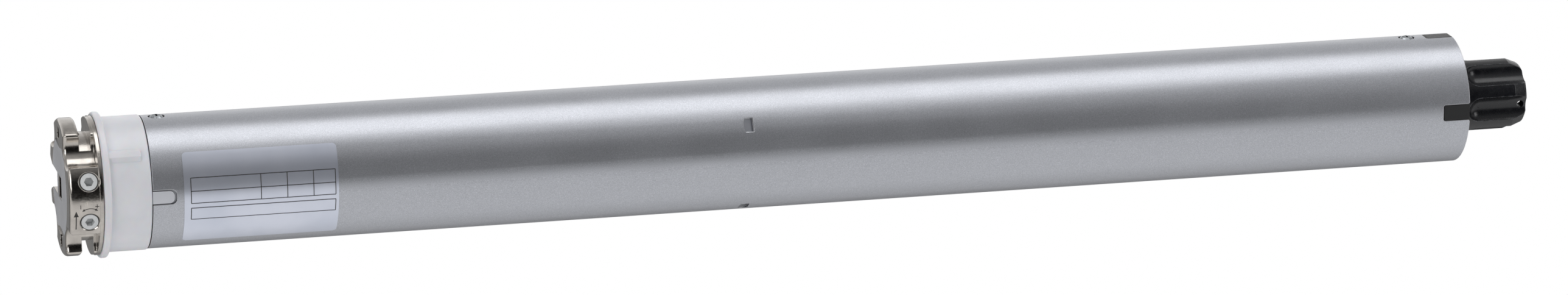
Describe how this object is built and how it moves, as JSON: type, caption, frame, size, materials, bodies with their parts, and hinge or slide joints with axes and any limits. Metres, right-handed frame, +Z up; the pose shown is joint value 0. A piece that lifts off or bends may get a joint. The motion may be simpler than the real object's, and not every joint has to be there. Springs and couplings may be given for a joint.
{
  "type": "roller shutter tubular motor",
  "caption": "Tubular motor for a roller shutter: steel tube with a lobed cast head, a white limit ring round its neck and a lobed black drive head at the far end.",
  "frame": {"origin": "centre of the head's flat mounting face, on the motor's axis", "axes": "+X along the axis from the head towards the drive head, +Z up, and the block with the two adjusting screws faces -Y"},
  "size_m": [0.6673, 0.0634, 0.0634],
  "materials": {
    "plated_casting": "satin",
    "face_foil": "matte",
    "zinc_steel": "satin",
    "bright_steel": "satin",
    "white_nylon": "glossy",
    "white_moulding": "satin",
    "black_moulding": "satin",
    "black_steel": "satin",
    "label_film": "matte",
    "capacitor_can": "glossy",
    "aluminium": "satin",
    "bronze": "satin",
    "brass": "satin",
    "lamination": "matte",
    "copper_wire": "satin",
    "gear_steel": "satin",
    "brake_lining": "matte",
    "switch_case": "satin",
    "switch_plunger": "satin"
  },
  "bodies": {
    "motor_body": {"head_casting": "plated_casting", "face_plate": "face_foil", "head_screws": "bright_steel", "cable_inlet": "black_moulding", "guide_rods": "bright_steel", "limit_housing": "white_moulding", "limit_housing_cover": "white_moulding", "motor_tube": "zinc_steel", "tube_screws": "bright_steel", "rating_label": "label_film", "capacitor": "capacitor_can", "capacitor_cradle": "black_moulding", "rear_end_shield": "aluminium", "rear_bush": "bronze", "stator_stack": "lamination", "stator_winding": "copper_wire", "front_end_shield": "aluminium", "front_bush": "bronze", "brake_yoke": "lamination", "brake_coil": "copper_wire", "brake_guide_pins": "bright_steel", "gearbox_front_plate": "aluminium", "ring_gear_housing": "gear_steel", "gearbox_end_cap": "black_moulding", "output_bearing": "bronze"},
    "limit_ring": {"limit_ring": "white_nylon"},
    "counting_spindle": {"counting_pinion": "white_nylon", "travel_spindle": "bright_steel"},
    "travel_nut": {"travel_nut": "white_moulding"},
    "upper_adjusting_screw": {"upper_adjusting_screw": "white_nylon"},
    "upper_setting_spindle": {"upper_setting_spindle": "brass"},
    "upper_switch_carriage": {"upper_switch_carriage": "white_moulding", "upper_microswitch": "switch_case"},
    "upper_switch_plunger": {"upper_switch_plunger": "switch_plunger"},
    "lower_adjusting_screw": {"lower_adjusting_screw": "white_nylon"},
    "lower_setting_spindle": {"lower_setting_spindle": "brass"},
    "lower_switch_carriage": {"lower_switch_carriage": "white_moulding", "lower_microswitch": "switch_case"},
    "lower_switch_plunger": {"lower_switch_plunger": "switch_plunger"},
    "rotor": {"rotor_shaft": "bright_steel", "rotor_core": "lamination", "rotor_cage_rings": "aluminium", "brake_disc": "brake_lining", "first_sun_gear": "gear_steel"},
    "brake_armature": {"brake_armature": "lamination", "brake_spring": "bright_steel"},
    "carrier_1": {"stage_1_carrier": "gear_steel"},
    "carrier_2": {"stage_2_carrier": "gear_steel"},
    "output": {"output_carrier": "gear_steel", "output_shaft": "black_steel", "retaining_ring": "bright_steel"},
    "planet_1a": {"stage_1_planet_a": "gear_steel"},
    "planet_1b": {"stage_1_planet_b": "gear_steel"},
    "planet_1c": {"stage_1_planet_c": "gear_steel"},
    "planet_2a": {"stage_2_planet_a": "gear_steel"},
    "planet_2b": {"stage_2_planet_b": "gear_steel"},
    "planet_2c": {"stage_2_planet_c": "gear_steel"},
    "planet_3a": {"stage_3_planet_a": "gear_steel"},
    "planet_3b": {"stage_3_planet_b": "gear_steel"},
    "planet_3c": {"stage_3_planet_c": "gear_steel"}
  },
  "joints": [
    {"name": "limit_ring_turn", "type": "hinge", "parent": "motor_body", "child": "limit_ring", "pos_m": [0.025, 0, 0], "axis": [1, 0, 0], "range_deg": [-3800, 3800]},
    {"name": "counting_spindle_turn", "type": "hinge", "parent": "motor_body", "child": "counting_spindle", "pos_m": [0.032, 0.0144, 0], "axis": [1, 0, 0], "range_deg": [-9500, 9500]},
    {"name": "travel_nut_slide", "type": "slide", "parent": "motor_body", "child": "travel_nut", "axis": [1, 0, 0], "range_m": [-0.0199, 0.0199]},
    {"name": "upper_setting_turn", "type": "hinge", "parent": "motor_body", "child": "upper_setting_spindle", "pos_m": [0.0088, -0.01383, 0.00436], "axis": [1, 0, 0], "range_deg": [-4500, 0]},
    {"name": "upper_screw_turn", "type": "hinge", "parent": "motor_body", "child": "upper_adjusting_screw", "pos_m": [0.0088, -0.01383, 0.00436], "axis": [0, -0.9537, 0.3007], "range_deg": [0, 4500]},
    {"name": "upper_carriage_slide", "type": "slide", "parent": "motor_body", "child": "upper_switch_carriage", "axis": [1, 0, 0], "range_m": [-0.01, 0]},
    {"name": "upper_plunger_press", "type": "slide", "parent": "upper_switch_carriage", "child": "upper_switch_plunger", "axis": [1, 0, 0], "range_m": [0, 0.0008], "stiffness_N_per_m": 400, "springref_m": -0.001},
    {"name": "lower_setting_turn", "type": "hinge", "parent": "motor_body", "child": "lower_setting_spindle", "pos_m": [0.0088, -0.01383, -0.00436], "axis": [1, 0, 0], "range_deg": [0, 4500]},
    {"name": "lower_screw_turn", "type": "hinge", "parent": "motor_body", "child": "lower_adjusting_screw", "pos_m": [0.0088, -0.01383, -0.00436], "axis": [0, -0.9537, -0.3007], "range_deg": [-4500, 0]},
    {"name": "lower_carriage_slide", "type": "slide", "parent": "motor_body", "child": "lower_switch_carriage", "axis": [1, 0, 0], "range_m": [0, 0.01]},
    {"name": "lower_plunger_press", "type": "slide", "parent": "lower_switch_carriage", "child": "lower_switch_plunger", "axis": [-1, 0, 0], "range_m": [0, 0.0008], "stiffness_N_per_m": 400, "springref_m": -0.001},
    {"name": "rotor_spin", "type": "hinge", "parent": "motor_body", "child": "rotor", "pos_m": [0.382, 0, 0], "axis": [1, 0, 0], "continuous": true},
    {"name": "brake_armature_slide", "type": "slide", "parent": "motor_body", "child": "brake_armature", "axis": [1, 0, 0], "range_m": [-0.0007, 0], "stiffness_N_per_m": 4000, "springref_m": 0.002},
    {"name": "carrier_1_spin", "type": "hinge", "parent": "motor_body", "child": "carrier_1", "pos_m": [0.519, 0, 0], "axis": [1, 0, 0], "continuous": true},
    {"name": "planet_1a_spin", "type": "hinge", "parent": "carrier_1", "child": "planet_1a", "pos_m": [0.509, 0, 0.0135], "axis": [1, 0, 0], "continuous": true},
    {"name": "planet_1b_spin", "type": "hinge", "parent": "carrier_1", "child": "planet_1b", "pos_m": [0.509, -0.01169, -0.00675], "axis": [1, 0, 0], "continuous": true},
    {"name": "planet_1c_spin", "type": "hinge", "parent": "carrier_1", "child": "planet_1c", "pos_m": [0.509, 0.01169, -0.00675], "axis": [1, 0, 0], "continuous": true},
    {"name": "carrier_2_spin", "type": "hinge", "parent": "motor_body", "child": "carrier_2", "pos_m": [0.547, 0, 0], "axis": [1, 0, 0], "continuous": true},
    {"name": "planet_2a_spin", "type": "hinge", "parent": "carrier_2", "child": "planet_2a", "pos_m": [0.533, 0, 0.0135], "axis": [1, 0, 0], "continuous": true},
    {"name": "planet_2b_spin", "type": "hinge", "parent": "carrier_2", "child": "planet_2b", "pos_m": [0.533, -0.01169, -0.00675], "axis": [1, 0, 0], "continuous": true},
    {"name": "planet_2c_spin", "type": "hinge", "parent": "carrier_2", "child": "planet_2c", "pos_m": [0.533, 0.01169, -0.00675], "axis": [1, 0, 0], "continuous": true},
    {"name": "output_spin", "type": "hinge", "parent": "motor_body", "child": "output", "pos_m": [0.59, 0, 0], "axis": [1, 0, 0], "continuous": true},
    {"name": "planet_3a_spin", "type": "hinge", "parent": "output", "child": "planet_3a", "pos_m": [0.568, 0, 0.0135], "axis": [1, 0, 0], "continuous": true},
    {"name": "planet_3b_spin", "type": "hinge", "parent": "output", "child": "planet_3b", "pos_m": [0.568, -0.01169, -0.00675], "axis": [1, 0, 0], "continuous": true},
    {"name": "planet_3c_spin", "type": "hinge", "parent": "output", "child": "planet_3c", "pos_m": [0.568, 0.01169, -0.00675], "axis": [1, 0, 0], "continuous": true}
  ],
  "couplings": [
    {"joint": "counting_spindle_turn", "follows": "limit_ring_turn", "ratio": 2.5},
    {"joint": "travel_nut_slide", "follows": "limit_ring_turn", "m_per_rad": -0.00029842},
    {"joint": "upper_screw_turn", "follows": "upper_carriage_slide", "rad_per_m": -7854},
    {"joint": "upper_setting_turn", "follows": "upper_carriage_slide", "rad_per_m": 7854},
    {"joint": "lower_screw_turn", "follows": "lower_carriage_slide", "rad_per_m": -7854},
    {"joint": "lower_setting_turn", "follows": "lower_carriage_slide", "rad_per_m": 7854},
    {"joint": "carrier_1_spin", "follows": "rotor_spin", "ratio": 0.18519},
    {"joint": "planet_1a_spin", "follows": "rotor_spin", "ratio": -0.4793},
    {"joint": "planet_1b_spin", "follows": "rotor_spin", "ratio": -0.4793},
    {"joint": "planet_1c_spin", "follows": "rotor_spin", "ratio": -0.4793},
    {"joint": "carrier_2_spin", "follows": "rotor_spin", "ratio": 0.034294},
    {"joint": "planet_2a_spin", "follows": "rotor_spin", "ratio": -0.08876},
    {"joint": "planet_2b_spin", "follows": "rotor_spin", "ratio": -0.08876},
    {"joint": "planet_2c_spin", "follows": "rotor_spin", "ratio": -0.08876},
    {"joint": "output_spin", "follows": "rotor_spin", "ratio": 0.0063507},
    {"joint": "planet_3a_spin", "follows": "rotor_spin", "ratio": -0.016437},
    {"joint": "planet_3b_spin", "follows": "rotor_spin", "ratio": -0.016437},
    {"joint": "planet_3c_spin", "follows": "rotor_spin", "ratio": -0.016437}
  ]
}
